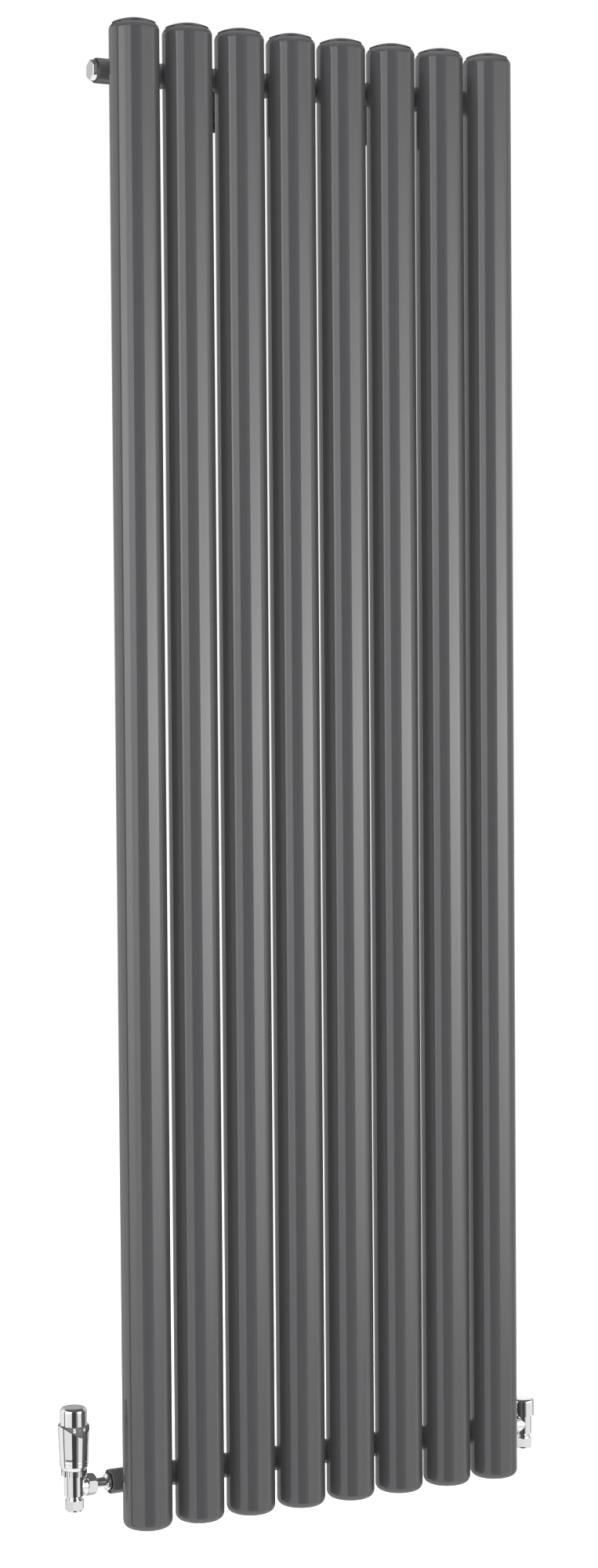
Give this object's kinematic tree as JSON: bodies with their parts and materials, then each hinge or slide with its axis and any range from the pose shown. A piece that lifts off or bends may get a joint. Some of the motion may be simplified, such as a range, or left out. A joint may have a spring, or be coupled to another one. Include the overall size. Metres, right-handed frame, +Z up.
{
  "type": "radiator with valve",
  "caption": "Vertical tubular column radiator on wall brackets, with a thermostatic valve, a lockshield valve, a blanking plug and an air vent.",
  "frame": {"origin": "centre of the four wall fixing holes, on the wall plane behind the brackets", "axes": "+X to the right along the row of columns seen from the front, +Y into the wall, +Z up along the columns"},
  "size_m": [0.6651, 0.1164, 1.8],
  "materials": {
    "anthracite_paint": "gloss",
    "bracket_paint": "satin",
    "chrome": "polished",
    "brass": "satin",
    "steel": "satin",
    "rubber": "matte",
    "dial_plastic": "satin",
    "base_plastic": "matte",
    "liner_plastic": "matte"
  },
  "bodies": {
    "radiator": {"column_1": "anthracite_paint", "column_2": "anthracite_paint", "column_3": "anthracite_paint", "column_4": "anthracite_paint", "column_5": "anthracite_paint", "column_6": "anthracite_paint", "column_7": "anthracite_paint", "column_8": "anthracite_paint", "column_cap_1": "anthracite_paint", "column_cap_2": "anthracite_paint", "column_cap_3": "anthracite_paint", "column_cap_4": "anthracite_paint", "column_cap_5": "anthracite_paint", "column_cap_6": "anthracite_paint", "column_cap_7": "anthracite_paint", "column_cap_8": "anthracite_paint", "header_upper": "anthracite_paint", "header_lower": "anthracite_paint", "spigots_upper": "anthracite_paint", "spigots_lower": "anthracite_paint", "header_bushes": "anthracite_paint", "lug_upper_left": "anthracite_paint", "lug_upper_right": "anthracite_paint", "lug_lower_left": "anthracite_paint", "lug_lower_right": "anthracite_paint", "bracket_upper_left": "bracket_paint", "bracket_upper_right": "bracket_paint", "bracket_lower_left": "bracket_paint", "bracket_lower_right": "bracket_paint", "tongue_liners": "liner_plastic", "blanking_plug": "chrome", "vent_plug": "chrome", "blanking_washer": "rubber", "vent_washer": "rubber", "trv_body": "chrome", "trv_compression_nut": "chrome", "trv_union_nut": "chrome", "trv_tailpiece": "chrome", "trv_ring_nut": "chrome", "trv_sleeve": "chrome", "lockshield_body": "chrome", "lockshield_compression_nut": "chrome", "lockshield_union_nut": "chrome", "lockshield_tailpiece": "chrome", "trv_olive": "brass", "trv_insert": "brass", "lockshield_olive": "brass", "lockshield_gland": "brass", "trv_base": "base_plastic"},
    "thermostat_head": {"trv_knob": "chrome", "trv_dial": "dial_plastic"},
    "thermostat_stem": {"trv_sensor": "brass", "trv_pin": "steel", "trv_seat_disc": "rubber"},
    "lockshield_key": {"lockshield_spindle": "brass"},
    "lockshield_valve": {"lockshield_plug": "brass"},
    "lockshield_cover": {"lockshield_cap": "chrome"},
    "bleed": {"bleed_screw": "brass"}
  },
  "joints": [
    {"name": "thermostat_turn", "type": "hinge", "parent": "radiator", "child": "thermostat_head", "pos_m": [-0.3177, -0.04, -0.747], "axis": [0, 0, 1], "range_deg": [-198, 27]},
    {"name": "thermostat_lift", "type": "slide", "parent": "radiator", "child": "thermostat_stem", "axis": [0, 0, 1], "range_m": [-0.00242, 0.00033]},
    {"name": "lockshield_turn", "type": "hinge", "parent": "radiator", "child": "lockshield_key", "pos_m": [0.3135, -0.04, -0.807], "axis": [0, 0, 1], "range_deg": [-720, 720]},
    {"name": "lockshield_lift", "type": "slide", "parent": "radiator", "child": "lockshield_valve", "axis": [0, 0, 1], "range_m": [-0.002, 0.002]},
    {"name": "cover_lift", "type": "slide", "parent": "radiator", "child": "lockshield_cover", "axis": [0, 0, 1], "range_m": [0, 0.03]},
    {"name": "bleed_turn", "type": "hinge", "parent": "radiator", "child": "bleed", "pos_m": [0.275, -0.04, 0.8678], "axis": [1, 0, 0], "range_deg": [0, 360]}
  ],
  "couplings": [
    {"joint": "thermostat_turn", "follows": "thermostat_lift", "rad_per_m": 1428.6},
    {"joint": "lockshield_turn", "follows": "lockshield_lift", "rad_per_m": 6283.2}
  ]
}
